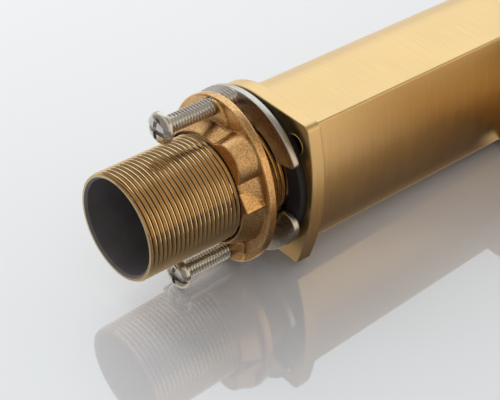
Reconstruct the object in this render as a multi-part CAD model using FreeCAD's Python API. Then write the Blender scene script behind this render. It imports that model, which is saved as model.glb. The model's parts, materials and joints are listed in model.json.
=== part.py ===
import FreeCAD, Part
import math
import os

# Single-lever basin mixer tap, in millimetres.
# The deck plane is z = 0 and the threaded shank goes down through it on the z axis.
# Spout and lever reach towards +Y. +X is the side with the sharper arris.

V = FreeCAD.Vector

# Small clearances
OVERRUN = 2.0            # how far a cutting tool passes a face
SAME = 0.01              # two measures closer than this are taken as equal
FILM = 0.05             # flat faces of two bodies that slide on each other
RUNNING = 0.08           # radial play of a turning or threaded fit
SLIP = 0.15              # radial play of a part that is dropped into its seat
SWING = 0.35             # room beside a piece that swings

# Column: round back, flat sides, gently convex front between two arrises
COLUMN_HALF_WIDTH = 20.8
COLUMN_BACK_CENTRE = 0.4
COLUMN_FRONT = 21.5
COLUMN_ARC = 60.0
COLUMN_CORNERS = (0.8, 2.4)    # rounding of the right and the left arris
LEAST_ROUND = 0.3
COLUMN_TOP = 146.0
COLUMN_WALL = 3.0
COLUMN_FLOOR = 10.0      # thickness of the floor that the shank screws into

# Foot plate and its seal
SEAL_PROUD = 2.2
SEAL_OUTER = 22.8
SEAL_INNER = 17.2
PLATE_HALF_WIDTH = 23.8
PLATE_BACK_CENTRE = -0.4
PLATE_FRONT = 25.1
PLATE_ARC = 69.2
PLATE_CORNERS = (2.4, 1.2)
PLATE_THICKNESS = 4.8
PLATE_EDGE = 0.35
RECESS_DEPTH = 1.2
LOCATING_RADIUS = 3.0
LOCATING_DEPTH = 2.0
LOCATING_PLACE = (16.0, 16.7)

# Hollow threaded shank, M32 x 1.5
SHANK_RADIUS = 16.0
SHANK_BORE = 14.2
SHANK_REACH = 46.7       # below the deck plane
SHANK_CHAMFER = 0.4

# Horseshoe washer
WASHER_OUTER = 25.25
WASHER_INNER = 18.0
WASHER_THICKNESS = 2.0
WASHER_GAP_HALF = 7.9
WASHER_GAP_ANGLE = 80.0
WASHER_CORNERS = ((1.4, 1.4), (1.4, 4.0))  # inner and outer corner of each arm
WASHER_PLAY = 0.2        # between the washer and the seal

# Fixing nut: oval plate, two bosses, collar with grip lobes, two drive lugs
NUT_FACE = -7.7          # height of the plate's upper face
NUT_PLATE = 2.8
NUT_LONG = 26.4
NUT_SHORT = 21.9
NUT_TURN = -5.0
NUT_EDGE = 0.5           # rounding of the plate towards the washer
SCREW_ANGLE = -10.5
SCREW_CIRCLE = 23.2
BOSS_ANGLE = -14.0
BOSS_CIRCLE = 18.9
BOSS_RADIUS = 8.0
BOSS_HEIGHT = 3.6
BOSS_INSET = 0.6         # of its side from the edge of the plate
COLLAR_HEIGHT = 8.8
COLLAR_TIP_RADIUS = 17.4
COLLAR_FOOT_RADIUS = 20.4
LOBE_ANGLE = 46.0        # from the line through the screws
LOBE_TIP = (15.0, 6.6)   # distance of its centre from the axis, and its radius
LOBE_FOOT = (17.0, 7.4)
COUNTERSINK = 0.8
LUG_WIDTH = 6.1
LUG_REACH = 17.5
LUG_SHIFT = 7.1
LUG_ANGLE = 52.0
LUG_PROUD = 0.5          # how far it stands past the collar's end

# Jack screws, M5 pan head
SCREW_RADIUS = 2.5
SCREW_LENGTH = 24.0
SCREW_HEAD_RADIUS = 4.75
SCREW_HEAD_HEIGHT = 3.0
SCREW_HEAD_ROUND = 1.6
SCREW_SLOT = 1.1
SCREW_SLOT_DEPTH = 1.4
SCREW_CROSS_REACH = 2.6

# Spout
SPOUT_DROP = 33.0        # top of the spout below the column's top
SPOUT_ROOT_DEPTH = 20.5
SPOUT_TIP_DEPTH = 16.0
SPOUT_REACH = 120.0
SPOUT_FLAT_START = 88.0  # from here to the tip the underside is level
SPOUT_CORNER = 5.0
SPOUT_WALL = 3.0
SPOUT_CHANNEL_HALF = 14.0
OUTLET_SETBACK = 16.0    # aerator's axis behind the spout's tip
WEB = 1.5                # between the channel and the aerator's socket

# Aerator, M24 x 1
AERATOR_THREAD = 12.0
AERATOR_SOCKET_DEPTH = 6.0
AERATOR_RIM = 13.4
AERATOR_RIM_HEIGHT = 2.6
AERATOR_BORE = 10.2
AERATOR_LIP = 9.0
AERATOR_LIP_HEIGHT = 1.0
AERATOR_SCREEN = 0.5
AERATOR_SEAL = 1.0
AERATOR_HOLE = 0.9
AERATOR_RINGS = 2        # rings of holes round the middle one, six more in each
AERATOR_RING_STEP = 3.2

# Cartridge, 35 mm ceramic, and the chamber that holds it
AXIS_Y = COLUMN_BACK_CENTRE
CARTRIDGE_RADIUS = 17.5
CHAMBER_DEPTH = 40.0     # below the column's top
SHOULDER_DROP = 10.0     # housing's shoulder, under the ring nut, below the column's top
BASE_HEIGHT = 4.0
BASE_PLUG = 3.2
HOUSING_WALL = 2.3
HOUSING_ROOF = 2.0
NECK_RADIUS = 12.0
NECK_HEIGHT = 7.0
ROTOR_NECK = 9.8
PORT_RADIUS = 3.0
PORT_SPREAD = 7.0
PORT_BACK = 4.5
PORT_FRONT = 8.0
PORT_SEAL_WIDTH = 1.5
PORT_SEAL_HEIGHT = 1.5
SEAL_SQUEEZE = 0.3       # how far the seals stand out of the base
DISC_THICKNESS = 4.0
FIXED_DISC = 14.6
MOVING_DISC = 11.4
MOVING_DISC_SHIFT = -3.0
MIXING_DEPTH = 2.0
DRIVER_HEIGHT = 7.6
DRIVER_HALF_WIDTH = 10.0
PEG_RADIUS = 2.0
PEG_LENGTH = 2.6
PEG_PLACE = (12.6, 5.0)

# Stem and its pivot
PIVOT_DROP = 5.0         # pivot below the column's top
STEM_ARM = 14.0
STEM_BALL = 3.2
STEM_WIDTH = 7.0
STEM_DEPTH = 5.0
STEM_SQUARE = 8.0
PIN_RADIUS = 1.5
TILT = 25.0
SWEEP_STEPS = 4          # how finely the slot follows the stem's swing

# Ring nut and dome cap
RING_NUT_RADIUS = 18.5
RING_NUT_HEIGHT = 6.5
RING_NUT_NOTCH = 4.0
CAP_RADIUS = 19.6
CAP_RIM = 0.3
CAP_RISE = 4.6
CAP_KNEE = 0.6           # how much of the rise is reached half way to the hole
CAP_HOLE = 10.5
CAP_WALL = 1.2
CAP_SKIRT = 2.6

# Lever
LEVER_GAP = 9.0          # between the column's top and the lever
LEVER_HUB = 10.0
LEVER_TIP = 5.0
LEVER_REACH = 98.0
LEVER_CORNER = 5.0
LEVER_EDGE = 0.8
LEVER_REAR_BEVEL = (9.0, 2.0)  # keeps the hub's rear off the column when the lever is open
LEVER_SOCKET = 8.0
GRUB_RADIUS = 2.5
GRUB_LENGTH = 8.0
PLUG_RADIUS = 3.2
PLUG_DEPTH = 3.0

# Water inlets, M10 x 1
INLET_RADIUS = 4.5
INLET_DEPTH = 12.0
INLET_DROP = 28.0        # mouths of the sockets below the chamber's floor
OUTLET_BORE = 4.5
OUTLET_DROP = 6.5        # axis of the level bore below the chamber's floor

# Heights that follow
PLATE_LOW = SEAL_PROUD
PLATE_TOP = PLATE_LOW + PLATE_THICKNESS
FLOOR_TOP = PLATE_TOP + COLUMN_FLOOR
WASHER_TOP = -WASHER_PLAY
WASHER_LOW = WASHER_TOP - WASHER_THICKNESS
NUT_PLATE_LOW = NUT_FACE - NUT_PLATE
NUT_LOW = NUT_PLATE_LOW - COLLAR_HEIGHT + NUT_PLATE
BOSS_LOW = NUT_FACE - BOSS_HEIGHT
CHAMBER_FLOOR = COLUMN_TOP - CHAMBER_DEPTH
SHOULDER = COLUMN_TOP - SHOULDER_DROP
SPOUT_TOP = COLUMN_TOP - SPOUT_DROP
INLET_FACE = CHAMBER_FLOOR - INLET_DROP
OUTLET_HEIGHT = CHAMBER_FLOOR - OUTLET_DROP
BASE_TOP = CHAMBER_FLOOR + BASE_HEIGHT + BASE_PLUG
FIXED_LOW = BASE_TOP + SEAL_SQUEEZE
MOVING_LOW = FIXED_LOW + DISC_THICKNESS + FILM
DRIVER_LOW = MOVING_LOW + DISC_THICKNESS
DRIVER_TOP = DRIVER_LOW + DRIVER_HEIGHT
HOUSING_INNER = CARTRIDGE_RADIUS - HOUSING_WALL
ROOF_LOW = SHOULDER - HOUSING_ROOF
NECK_TOP = SHOULDER + NECK_HEIGHT
PIVOT = COLUMN_TOP - PIVOT_DROP
BALL = PIVOT - STEM_ARM
LEVER_LOW = COLUMN_TOP + LEVER_GAP
LEVER_TOP = LEVER_LOW + LEVER_HUB
SPOUT_LOW = SPOUT_TOP - SPOUT_TIP_DEPTH
SOCKET_TOP = SPOUT_LOW + AERATOR_SOCKET_DEPTH
COLUMN_BACK = COLUMN_BACK_CENTRE - COLUMN_HALF_WIDTH
CHANNEL_LOW = SOCKET_TOP + WEB
CHANNEL_TOP = SPOUT_TOP - SPOUT_WALL
PORTS = [(-PORT_SPREAD, AXIS_Y - PORT_BACK),
         (PORT_SPREAD, AXIS_Y - PORT_BACK),
         (0.0, AXIS_Y + PORT_FRONT)]
INLETS = PORTS[:2]
OUTLET = PORTS[2]
AXIS = (0.0, AXIS_Y)
OUTLET_Y = SPOUT_REACH - OUTLET_SETBACK
MOUTH = (0.0, OUTLET_Y)


def cylinder(radius, low, high, centre=(0.0, 0.0)):
    """Upright cylinder between two heights."""
    return Part.makeCylinder(radius, high - low, V(centre[0], centre[1], low))


def ring(outer, inner, low, high, centre=(0.0, 0.0)):
    """Upright tube between two heights."""
    bore = cylinder(inner, low - OVERRUN, high + OVERRUN, centre)
    return cylinder(outer, low, high, centre).cut(bore)


def block(x, y, z):
    """Box from three pairs of limits."""
    return Part.makeBox(x[1] - x[0], y[1] - y[0], z[1] - z[0], V(x[0], y[0], z[0]))


def revolve(points, centre=(0.0, 0.0)):
    """Solid of a closed (radius, height) outline turned about an upright axis."""
    corners = [V(centre[0] + r, centre[1], z) for r, z in points]
    face = Part.Face(Part.makePolygon(corners + corners[:1]))
    return face.revolve(V(centre[0], centre[1], 0), V(0, 0, 1), 360)


def side_profile(points, half_width):
    """Prism of a (y, height) outline, centred on x = 0."""
    corners = [V(-half_width, y, z) for y, z in points]
    face = Part.Face(Part.makePolygon(corners + corners[:1]))
    return face.extrude(V(2 * half_width, 0, 0))


def is_upright(edge, x, y):
    """True for a straight vertical edge that passes through (x, y)."""
    ends = edge.Vertexes
    if len(ends) != 2:
        return False
    return all(math.hypot(p.X - x, p.Y - y) < SAME for p in ends)


def round_corner(solid, radius, x, y):
    """Fillet the vertical edge that stands at (x, y)."""
    return solid.makeFillet(radius, [e for e in solid.Edges if is_upright(e, x, y)])


def level_edges(solid, height):
    """Edges that lie flat at one height."""
    boxes = [(edge, edge.BoundBox) for edge in solid.Edges]
    return [e for e, b in boxes if max(abs(b.ZMin - height), abs(b.ZMax - height)) < SAME]


def union(solids):
    """Fuse solids into one clean solid."""
    return solids[0].multiFuse(solids[1:]).removeSplitter()


def tilted(solid, angle):
    """The solid turned about the stem's pivot, towards an open lever."""
    turned = solid.copy()
    turned.rotate(V(0, AXIS_Y, PIVOT), V(1, 0, 0), angle)
    return turned


def around(solid, angle, centre=(0.0, 0.0)):
    """The solid turned about an upright axis."""
    turned = solid.copy()
    turned.rotate(V(centre[0], centre[1], 0), V(0, 0, 1), angle)
    return turned


def d_outline(half_width, back_centre, front, arc):
    """Closed outline with a round back, straight sides and a convex front, and its corners' y."""
    corner = front - arc + math.sqrt(arc ** 2 - half_width ** 2)
    left, right = V(-half_width, corner, 0), V(half_width, corner, 0)
    back_left, back_right = V(-half_width, back_centre, 0), V(half_width, back_centre, 0)
    edges = [Part.Arc(back_left, V(0, back_centre - half_width, 0), back_right).toShape(),
             Part.makeLine(back_right, right),
             Part.Arc(right, V(0, front, 0), left).toShape(), Part.makeLine(left, back_left)]
    return Part.Wire(edges), corner


def prism(wire, low, high):
    """Upright prism of a closed outline."""
    face = Part.Face(wire)
    face.translate(V(0, 0, low))
    return face.extrude(V(0, 0, high - low))


def d_prism(outline, corners, low, high):
    """Upright prism of a D outline with its right and left front corners rounded."""
    half_width = outline[0]
    wire, corner = d_outline(*outline)
    solid = prism(wire, low, high)
    for side, radius in zip((1, -1), corners):
        solid = round_corner(solid, radius, side * half_width, corner)
    return solid


def column_prism(inset, low, high):
    """The column's section drawn in by an inset, between two heights."""
    outline = (COLUMN_HALF_WIDTH - inset, COLUMN_BACK_CENTRE, COLUMN_FRONT - inset, COLUMN_ARC - inset)
    corners = [max(radius - inset, LEAST_ROUND) for radius in COLUMN_CORNERS]
    return d_prism(outline, corners, low, high)


def column_body():
    """Cast column: hollow below, waterways in the middle, cartridge chamber on top."""
    body = column_prism(0, PLATE_TOP, COLUMN_TOP)
    hollow = column_prism(COLUMN_WALL, FLOOR_TOP, INLET_FACE)
    socket = cylinder(SHANK_RADIUS + FILM, PLATE_TOP - OVERRUN, FLOOR_TOP + OVERRUN)
    chamber = cylinder(CARTRIDGE_RADIUS + SLIP, CHAMBER_FLOOR, COLUMN_TOP, AXIS)
    thread = cylinder(RING_NUT_RADIUS, SHOULDER, COLUMN_TOP + OVERRUN, AXIS)
    cuts = [hollow, socket, chamber, thread]
    for port in INLETS:
        cuts.append(cylinder(INLET_RADIUS, INLET_FACE - OVERRUN, INLET_FACE + INLET_DEPTH, port))
        cuts.append(cylinder(PORT_RADIUS, INLET_FACE, CHAMBER_FLOOR + OVERRUN, port))
    cuts.append(cylinder(PORT_RADIUS, OUTLET_HEIGHT, CHAMBER_FLOOR + OVERRUN, OUTLET))
    cuts.append(outlet_bore(OUTLET[1] - PORT_RADIUS, COLUMN_FRONT + OVERRUN))
    for side in (-1, 1):
        place = (side * PEG_PLACE[0], AXIS_Y + PEG_PLACE[1])
        low = CHAMBER_FLOOR - PEG_LENGTH - SLIP
        cuts.append(cylinder(PEG_RADIUS + SLIP, low, CHAMBER_FLOOR + OVERRUN, place))
    return body.cut(cuts)


def outlet_bore(start, end):
    """Level bore that takes the mixed water forward into the spout."""
    return Part.makeCylinder(OUTLET_BORE, end - start, V(0, start, OUTLET_HEIGHT), V(0, 1, 0))


def spout():
    """Hollow flat spout, flush with the column's sides and shaped to its front."""
    outline = (COLUMN_HALF_WIDTH, COLUMN_BACK_CENTRE, SPOUT_REACH, COLUMN_ARC)
    slab = d_prism(outline, (SPOUT_CORNER, SPOUT_CORNER), SPOUT_LOW - SPOUT_ROOT_DEPTH, SPOUT_TOP)
    low = SPOUT_TOP - SPOUT_ROOT_DEPTH
    start = COLUMN_BACK_CENTRE + OVERRUN
    side_view = side_profile([(start, low), (COLUMN_FRONT, low), (SPOUT_FLAT_START, SPOUT_LOW),
                              (SPOUT_REACH + OVERRUN, SPOUT_LOW),
                              (SPOUT_REACH + OVERRUN, SPOUT_TOP), (start, SPOUT_TOP)],
                             COLUMN_HALF_WIDTH + OVERRUN)
    slab = slab.common(side_view)
    tip = SPOUT_REACH - 2 * SPOUT_WALL
    root = COLUMN_FRONT + SPOUT_WALL
    bore_low, bore_top = OUTLET_HEIGHT - OUTLET_BORE, OUTLET_HEIGHT + OUTLET_BORE
    rise = root + CHANNEL_TOP - bore_top
    channel = side_profile([(root, bore_low), (root + SPOUT_WALL, bore_low),
                            (2 * rise - root, CHANNEL_LOW), (tip, CHANNEL_LOW), (tip, CHANNEL_TOP),
                            (rise, CHANNEL_TOP), (root, bore_top)], SPOUT_CHANNEL_HALF)
    mouth = cylinder(AERATOR_THREAD + RUNNING, SPOUT_LOW - OVERRUN, SOCKET_TOP, MOUTH)
    throat = cylinder(AERATOR_LIP, SPOUT_LOW, CHANNEL_LOW + OVERRUN, MOUTH)
    column = column_prism(0, low - OVERRUN, SPOUT_TOP + OVERRUN)
    return slab.cut([column, channel, outlet_bore(COLUMN_FRONT - COLUMN_WALL, root + OVERRUN),
                     mouth, throat])


def base_flange():
    """Foot plate: round back, flat sides, convex front, a recess and a blind locating hole."""
    outline = (PLATE_HALF_WIDTH, PLATE_BACK_CENTRE, PLATE_FRONT, PLATE_ARC)
    plate = d_prism(outline, PLATE_CORNERS, PLATE_LOW, PLATE_TOP)
    plate = plate.makeFillet(PLATE_EDGE, level_edges(plate, PLATE_LOW) + level_edges(plate, PLATE_TOP))
    recess = cylinder(SEAL_OUTER + SLIP, PLATE_LOW - OVERRUN, PLATE_LOW + RECESS_DEPTH)
    hole = cylinder(SHANK_RADIUS + SLIP, PLATE_LOW - OVERRUN, PLATE_TOP + OVERRUN)
    locating = cylinder(LOCATING_RADIUS, PLATE_LOW - OVERRUN, PLATE_LOW + LOCATING_DEPTH, LOCATING_PLACE)
    return plate.cut([recess, hole, locating])


def base_seal():
    """Rubber ring that stands proud of the foot plate's recess."""
    seal = ring(SEAL_OUTER, SEAL_INNER, 0.0, PLATE_LOW + RECESS_DEPTH)
    return seal.makeFillet(PLATE_EDGE, level_edges(seal, 0.0))


def threaded_shank():
    """Hollow shank, plain at the thread's outer diameter, with chamfered mouth."""
    low, high = -SHANK_REACH, FLOOR_TOP
    tip = SHANK_RADIUS - SHANK_CHAMFER
    mouth = SHANK_BORE + SHANK_CHAMFER
    outline = [(SHANK_BORE, low + SHANK_CHAMFER), (mouth, low), (tip, low),
               (SHANK_RADIUS, low + SHANK_CHAMFER), (SHANK_RADIUS, high), (SHANK_BORE, high)]
    return revolve(outline)


def c_washer():
    """Horseshoe washer, open towards the front, with rounded arm ends."""
    washer = ring(WASHER_OUTER, WASHER_INNER, WASHER_LOW, WASHER_TOP)
    gap = block((0, 2 * WASHER_OUTER), (-WASHER_GAP_HALF, WASHER_GAP_HALF),
                (WASHER_LOW - OVERRUN, WASHER_TOP + OVERRUN))
    washer = washer.cut(gap)
    for side, corners in zip((-1, 1), WASHER_CORNERS):
        y = side * WASHER_GAP_HALF
        for radius, corner in zip((WASHER_INNER, WASHER_OUTER), corners):
            washer = round_corner(washer, corner, math.sqrt(radius ** 2 - y ** 2), y)
    return around(washer, WASHER_GAP_ANGLE)


def circle(radius, height, x):
    """Level circle with its centre on the line y = 0."""
    return Part.Wire(Part.makeCircle(radius, V(x, 0, height)))


def grip_lobe(angle):
    """Tapered round lobe on the nut's collar."""
    tip = circle(LOBE_TIP[1], NUT_LOW, LOBE_TIP[0])
    foot = circle(LOBE_FOOT[1], NUT_FACE - NUT_EDGE, LOBE_FOOT[0])
    return around(Part.makeLoft([tip, foot], True, True), angle)


def drive_lug(angle):
    """Square-ended lug on the collar, which a spanner pushes on."""
    half = LUG_WIDTH / 2
    lug = block((0, LUG_REACH), (LUG_SHIFT - half, LUG_SHIFT + half),
                (NUT_LOW - LUG_PROUD, NUT_FACE - NUT_EDGE))
    return around(lug, angle)


def on_circle(side, radius, angle):
    """Place at an angle on a circle about the axis, or the one across from it."""
    turn = math.radians(angle)
    return (side * radius * math.cos(turn), side * radius * math.sin(turn))


def screw_place(side):
    """Where a jack screw stands."""
    return on_circle(side, SCREW_CIRCLE, SCREW_ANGLE)


def fixing_nut():
    """Cast oval nut with a threaded collar and a low boss for each jack screw."""
    oval = Part.Wire(Part.Ellipse(V(0, 0, 0), NUT_LONG, NUT_SHORT).toShape())
    inner_oval = Part.Wire(Part.Ellipse(V(0, 0, 0), NUT_LONG - BOSS_INSET, NUT_SHORT - BOSS_INSET).toShape())
    plate = around(prism(oval, NUT_PLATE_LOW, NUT_FACE), NUT_TURN)
    limit = around(prism(inner_oval, BOSS_LOW, NUT_FACE - NUT_EDGE), NUT_TURN)
    plate = plate.makeFillet(NUT_EDGE, level_edges(plate, NUT_FACE))
    height = NUT_FACE - NUT_EDGE - NUT_LOW
    collar = Part.makeCone(COLLAR_TIP_RADIUS, COLLAR_FOOT_RADIUS, height, V(0, 0, NUT_LOW))
    pieces = [plate, collar]
    for side in (-1, 1):
        turn = SCREW_ANGLE + (0 if side > 0 else 180)
        boss = cylinder(BOSS_RADIUS, BOSS_LOW, NUT_FACE, on_circle(side, BOSS_CIRCLE, BOSS_ANGLE))
        pieces.append(boss.common(limit))
        pieces.append(grip_lobe(turn + LOBE_ANGLE))
        pieces.append(drive_lug(LUG_ANGLE if side > 0 else LUG_ANGLE + 180))
    body = union(pieces)
    bore = cylinder(SHANK_RADIUS + RUNNING, NUT_LOW - OVERRUN, NUT_FACE + OVERRUN)
    sink = Part.makeCone(SHANK_RADIUS + RUNNING + COUNTERSINK + LUG_PROUD, SHANK_RADIUS + RUNNING,
                         COUNTERSINK + LUG_PROUD, V(0, 0, NUT_LOW - LUG_PROUD))
    cuts = [bore, sink]
    for side in (-1, 1):
        low, high = BOSS_LOW - OVERRUN, NUT_FACE + OVERRUN
        cuts.append(cylinder(SCREW_RADIUS + RUNNING, low, high, screw_place(side)))
    return body.cut(cuts)


def jack_screw(side):
    """Pan-head screw, plain at its thread's outer diameter, tip on the washer."""
    tip = WASHER_LOW - FILM
    seat = tip - SCREW_LENGTH
    end = seat - SCREW_HEAD_HEIGHT
    place = screw_place(side)
    shank = revolve([(0, seat), (SCREW_RADIUS, seat), (SCREW_RADIUS, tip - SCREW_RADIUS / 4),
                     (SCREW_RADIUS * 3 / 4, tip), (0, tip)], place)
    head = cylinder(SCREW_HEAD_RADIUS, end, seat, place)
    head = head.makeFillet(SCREW_HEAD_ROUND, level_edges(head, end))
    half = SCREW_SLOT / 2
    x, y = place
    slot = block((x - half, x + half), (y - SCREW_HEAD_RADIUS, y + SCREW_HEAD_RADIUS),
                 (end - OVERRUN, end + SCREW_SLOT_DEPTH))
    cross = block((x - SCREW_CROSS_REACH, x + SCREW_CROSS_REACH), (y - half, y + half),
                  (end - OVERRUN, end + SCREW_SLOT_DEPTH))
    return union([shank, head]).cut([slot, cross])


def ported_disc(radius, low, high):
    """Round disc about the cartridge's axis with the three water ports."""
    disc = cylinder(radius, low, high, AXIS)
    return disc.cut([cylinder(PORT_RADIUS, low - OVERRUN, high + OVERRUN, p) for p in PORTS])


def cartridge_base():
    """Plastic base with seal grooves on both sides and two locating pegs."""
    flange_top = CHAMBER_FLOOR + BASE_HEIGHT
    base = union([ported_disc(CARTRIDGE_RADIUS, CHAMBER_FLOOR, flange_top),
                  ported_disc(HOUSING_INNER - SLIP, flange_top, BASE_TOP)])
    groove = PORT_RADIUS + PORT_SEAL_WIDTH
    cuts = []
    for port in PORTS:
        cuts.append(cylinder(groove, CHAMBER_FLOOR - OVERRUN, CHAMBER_FLOOR + PORT_SEAL_HEIGHT, port))
        cuts.append(cylinder(groove, BASE_TOP - PORT_SEAL_HEIGHT, BASE_TOP + OVERRUN, port))
    base = base.cut(cuts)
    pegs = [cylinder(PEG_RADIUS, CHAMBER_FLOOR - PEG_LENGTH, CHAMBER_FLOOR + OVERRUN,
                     (side * PEG_PLACE[0], AXIS_Y + PEG_PLACE[1])) for side in (-1, 1)]
    return union([base] + pegs)


def seal_set(low, high):
    """Three rubber rings, one at each port."""
    outer = PORT_RADIUS + PORT_SEAL_WIDTH
    return Part.makeCompound([ring(outer, PORT_RADIUS, low, high, port) for port in PORTS])


def moving_ceramic_disc():
    """Upper disc with the mixing pocket in its lapped face."""
    centre = (0.0, AXIS_Y + MOVING_DISC_SHIFT)
    disc = cylinder(MOVING_DISC, MOVING_LOW, DRIVER_LOW, centre)
    pocket = cylinder(MOVING_DISC / 2, MOVING_LOW - OVERRUN, MOVING_LOW + MIXING_DEPTH, centre)
    return disc.cut(pocket)


def disc_driver():
    """Plastic slide on the moving disc, with flats that run in the carrier's rails."""
    centre = (0.0, AXIS_Y + MOVING_DISC_SHIFT)
    slide = cylinder(MOVING_DISC, DRIVER_LOW, DRIVER_TOP, centre)
    reach = 2 * MOVING_DISC
    flats = block((-DRIVER_HALF_WIDTH, DRIVER_HALF_WIDTH), (AXIS_Y - reach, AXIS_Y + reach),
                  (DRIVER_LOW, DRIVER_TOP))
    half = STEM_BALL + SWING
    socket = block((-half, half), (AXIS_Y - half, AXIS_Y + half),
                   (BALL - STEM_BALL - SWING, DRIVER_TOP + OVERRUN))
    return slide.common(flats).cut(socket)


def stem_blank(growth, top):
    """The stem's lower arm with its ball end, grown on all sides, up to a height."""
    half_x, half_y = STEM_WIDTH / 2 + growth, STEM_DEPTH / 2 + growth
    arm = block((-half_x, half_x), (AXIS_Y - half_y, AXIS_Y + half_y), (BALL, top))
    ball = Part.makeSphere(STEM_BALL + growth, V(0, AXIS_Y, BALL))
    return arm.fuse(ball)


def stem_square(growth):
    """The square end that the lever sits on, grown on all sides."""
    half = STEM_SQUARE / 2 + growth
    return block((-half, half), (AXIS_Y - half, AXIS_Y + half),
                 (NECK_TOP + SWING - growth, LEVER_LOW + LEVER_SOCKET - FILM + growth))


def pin_hole(radius, half_length):
    """Level cylinder on the stem's pivot."""
    return Part.makeCylinder(radius, 2 * half_length, V(-half_length, AXIS_Y, PIVOT), V(1, 0, 0))


def stem_carrier():
    """Rotor that carries the stem's pin and drives the moving disc round."""
    outer = HOUSING_INNER - SLIP
    rail_low = DRIVER_LOW + FILM
    flange_low = DRIVER_TOP + SWING
    flange_top = ROOF_LOW - FILM
    rotor = union([cylinder(outer, flange_low, flange_top, AXIS),
                   cylinder(ROTOR_NECK, flange_low, NECK_TOP, AXIS)])
    skirt = cylinder(outer, rail_low, flange_low, AXIS)
    inner = DRIVER_HALF_WIDTH + SLIP
    between = block((-inner, inner), (AXIS_Y - outer, AXIS_Y + outer),
                    (rail_low - OVERRUN, flange_low + OVERRUN))
    rotor = union([rotor, skirt.cut(between)])
    stem = stem_blank(SWING, NECK_TOP).fuse(stem_square(SWING))
    swept = [tilted(stem, TILT * step / SWEEP_STEPS) for step in range(SWEEP_STEPS + 1)]
    return rotor.cut(swept + [pin_hole(PIN_RADIUS + FILM, outer)])


def stem_pin():
    """Steel pivot pin across the carrier's neck."""
    return pin_hole(PIN_RADIUS, ROTOR_NECK - SWING)


def cartridge_stem():
    """Brass stem: ball end below the pin, square end in the lever."""
    stem = union([stem_blank(0, NECK_TOP + SWING), stem_square(0)])
    return stem.cut(pin_hole(PIN_RADIUS + RUNNING, ROTOR_NECK))


def cartridge_housing():
    """Plastic shell of the cartridge with the neck that guides the carrier."""
    low = CHAMBER_FLOOR + BASE_HEIGHT
    shell = ring(CARTRIDGE_RADIUS, HOUSING_INNER, low, ROOF_LOW, AXIS)
    roof = ring(CARTRIDGE_RADIUS, ROTOR_NECK + RUNNING, ROOF_LOW, SHOULDER, AXIS)
    neck = ring(NECK_RADIUS, ROTOR_NECK + RUNNING, SHOULDER, NECK_TOP, AXIS)
    return union([shell, roof, neck])


def retaining_nut():
    """Brass ring nut that clamps the cartridge, with four spanner notches."""
    top = SHOULDER + RING_NUT_HEIGHT
    nut = ring(RING_NUT_RADIUS - FILM, NECK_RADIUS + SLIP, SHOULDER, top, AXIS)
    half = RING_NUT_NOTCH / 2
    inner = RING_NUT_RADIUS - RING_NUT_NOTCH
    notch = block((inner, RING_NUT_RADIUS), (AXIS_Y - half, AXIS_Y + half),
                  (top - half, top + OVERRUN))
    return nut.cut([around(notch, 90 * quarter, AXIS) for quarter in range(4)])


def dome_cap():
    """Thin trim dome over the ring nut, open in the middle for the stem's swing."""
    rim = COLUMN_TOP + CAP_RIM
    crown = COLUMN_TOP + CAP_RISE
    skirt = RING_NUT_RADIUS - SLIP
    mid = (CAP_RADIUS + CAP_HOLE) / 2
    knee = COLUMN_TOP + CAP_RISE * CAP_KNEE
    outline = [(skirt - CAP_WALL, COLUMN_TOP - CAP_SKIRT), (skirt, COLUMN_TOP - CAP_SKIRT),
               (skirt, COLUMN_TOP + FILM), (CAP_RADIUS, COLUMN_TOP + FILM), (CAP_RADIUS, rim),
               (mid, knee), (CAP_HOLE, crown), (CAP_HOLE, crown - CAP_WALL),
               (mid, knee - CAP_WALL), (skirt - CAP_WALL, COLUMN_TOP + FILM)]
    return revolve(outline, AXIS)


def lever_handle():
    """Flat lever whose hub has the column's outline and whose blade thins to the front."""
    outline = (COLUMN_HALF_WIDTH, COLUMN_BACK_CENTRE, LEVER_REACH, COLUMN_ARC)
    blade = d_prism(outline, (LEVER_CORNER, LEVER_CORNER), LEVER_LOW, LEVER_TOP)
    back, front = COLUMN_BACK - OVERRUN, LEVER_REACH + OVERRUN
    bevel, rise = LEVER_REAR_BEVEL
    side_view = side_profile([(back, LEVER_LOW + rise * (bevel + OVERRUN) / bevel),
                              (COLUMN_BACK + bevel, LEVER_LOW), (COLUMN_FRONT, LEVER_LOW),
                              (front, LEVER_TOP - LEVER_TIP), (front, LEVER_TOP),
                              (back, LEVER_TOP)], COLUMN_HALF_WIDTH + OVERRUN)
    blade = blade.common(side_view)
    blade = blade.makeFillet(LEVER_EDGE, level_edges(blade, LEVER_TOP))
    half = STEM_SQUARE / 2 + FILM
    socket = block((-half, half), (AXIS_Y - half, AXIS_Y + half),
                   (LEVER_LOW - OVERRUN, LEVER_LOW + LEVER_SOCKET))
    grub = grub_cylinder(GRUB_RADIUS + FILM, COLUMN_BACK - OVERRUN, AXIS_Y)
    plug = grub_cylinder(PLUG_RADIUS + FILM, COLUMN_BACK - OVERRUN, COLUMN_BACK + PLUG_DEPTH)
    return blade.cut([socket, grub, plug])


def grub_cylinder(radius, start, end):
    """Level cylinder on the grub screw's axis, in the lever's hub."""
    height = LEVER_LOW + LEVER_HUB / 2
    return Part.makeCylinder(radius, end - start, V(0, start, height), V(0, 1, 0))


def lever_grub_screw():
    """Hexagon-socket grub screw that bears on the stem's square."""
    end = AXIS_Y - STEM_SQUARE / 2
    return grub_cylinder(GRUB_RADIUS, end - GRUB_LENGTH, end)


def grub_plug():
    """Small round plug that hides the grub screw's hole."""
    return grub_cylinder(PLUG_RADIUS, COLUMN_BACK, COLUMN_BACK + PLUG_DEPTH - FILM)


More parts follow.
